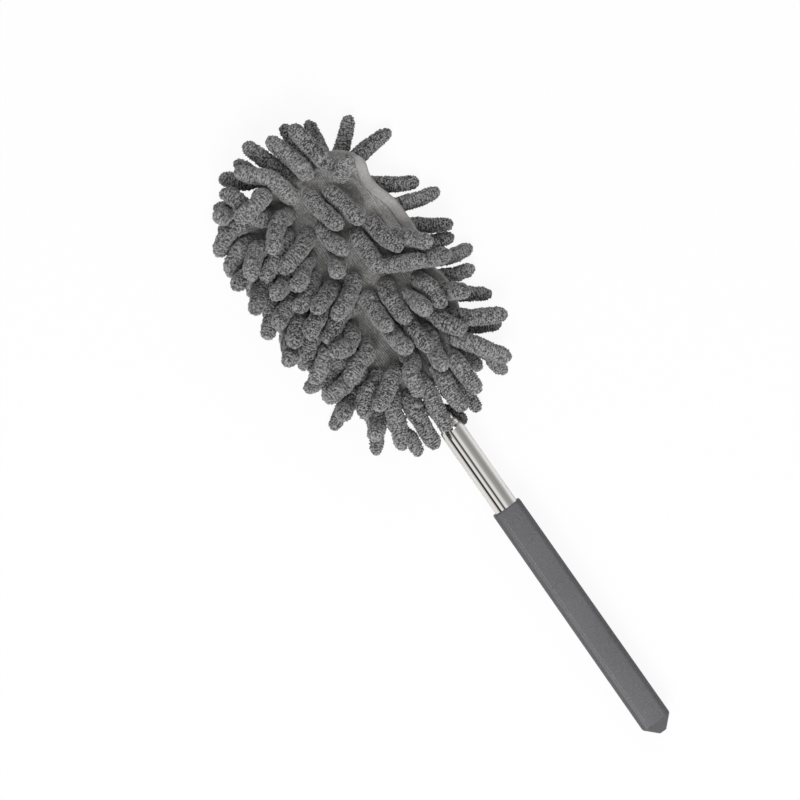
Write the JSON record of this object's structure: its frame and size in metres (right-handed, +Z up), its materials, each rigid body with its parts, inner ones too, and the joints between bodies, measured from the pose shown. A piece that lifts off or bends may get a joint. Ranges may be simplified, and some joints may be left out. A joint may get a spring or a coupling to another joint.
{
  "type": "car duster",
  "caption": "Telescopic car duster: faceted grip, nested steel pole, flat flexible paddle and a slip-on sleeve covered with chenille fingers.",
  "frame": {"origin": "middle of the bounding box, on the floor that the duster lies on", "axes": "+X from the grip towards the head, +Z up; the pole climbs 1.965 degrees from the grip to the head"},
  "size_m": [0.325, 0.1022, 0.0418],
  "materials": {
    "grip_plastic": "matte warm grey",
    "plug_plastic": "matte black",
    "stainless_steel": "polished",
    "spring_brass": "bare spring brass",
    "paddle_plastic": "matte black, flexible",
    "chenille": "mid grey microfibre chenille",
    "sleeve_cloth": "smooth light grey knit"
  },
  "bodies": {
    "handle": {"grip": "grip_plastic", "tube_plug": "plug_plastic", "section_1_tube": "stainless_steel"},
    "section_2": {"section_2_tube": "stainless_steel", "section_2_collar": "spring_brass"},
    "section_3": {"section_3_tube": "stainless_steel", "section_3_collar": "spring_brass"},
    "section_4": {"section_4_tube": "stainless_steel", "section_4_collar": "spring_brass"},
    "section_5_guide": {"section_5_collar": "spring_brass"},
    "head": {"section_5_tube": "stainless_steel", "paddle": "paddle_plastic", "neck_ferrule": "stainless_steel", "neck_pin": "stainless_steel"},
    "sleeve": {"front_panel": "chenille", "back_panel": "chenille", "side_binding_left": "sleeve_cloth", "side_binding_right": "sleeve_cloth", "mouth_binding": "sleeve_cloth"}
  },
  "joints": [
    {"name": "section_2_slide", "type": "slide", "parent": "handle", "child": "section_2", "axis": [0.9994, 0, 0.0343], "range_m": [0, 0.12]},
    {"name": "section_3_slide", "type": "slide", "parent": "section_2", "child": "section_3", "axis": [0.9994, 0, 0.0343], "range_m": [0, 0.123]},
    {"name": "section_4_slide", "type": "slide", "parent": "section_3", "child": "section_4", "axis": [0.9994, 0, 0.0343], "range_m": [0, 0.126]},
    {"name": "section_5_slide", "type": "slide", "parent": "section_4", "child": "section_5_guide", "axis": [0.9994, 0, 0.0343], "range_m": [0, 0.129]},
    {"name": "head_spin", "type": "hinge", "parent": "section_5_guide", "child": "head", "pos_m": [-0.12198, 0.00518, 0.00798], "axis": [0.9994, 0, 0.0343], "continuous": true},
    {"name": "sleeve_pull_off", "type": "slide", "parent": "head", "child": "sleeve", "axis": [0.9994, 0, 0.0343], "range_m": [0, 0.14]}
  ]
}
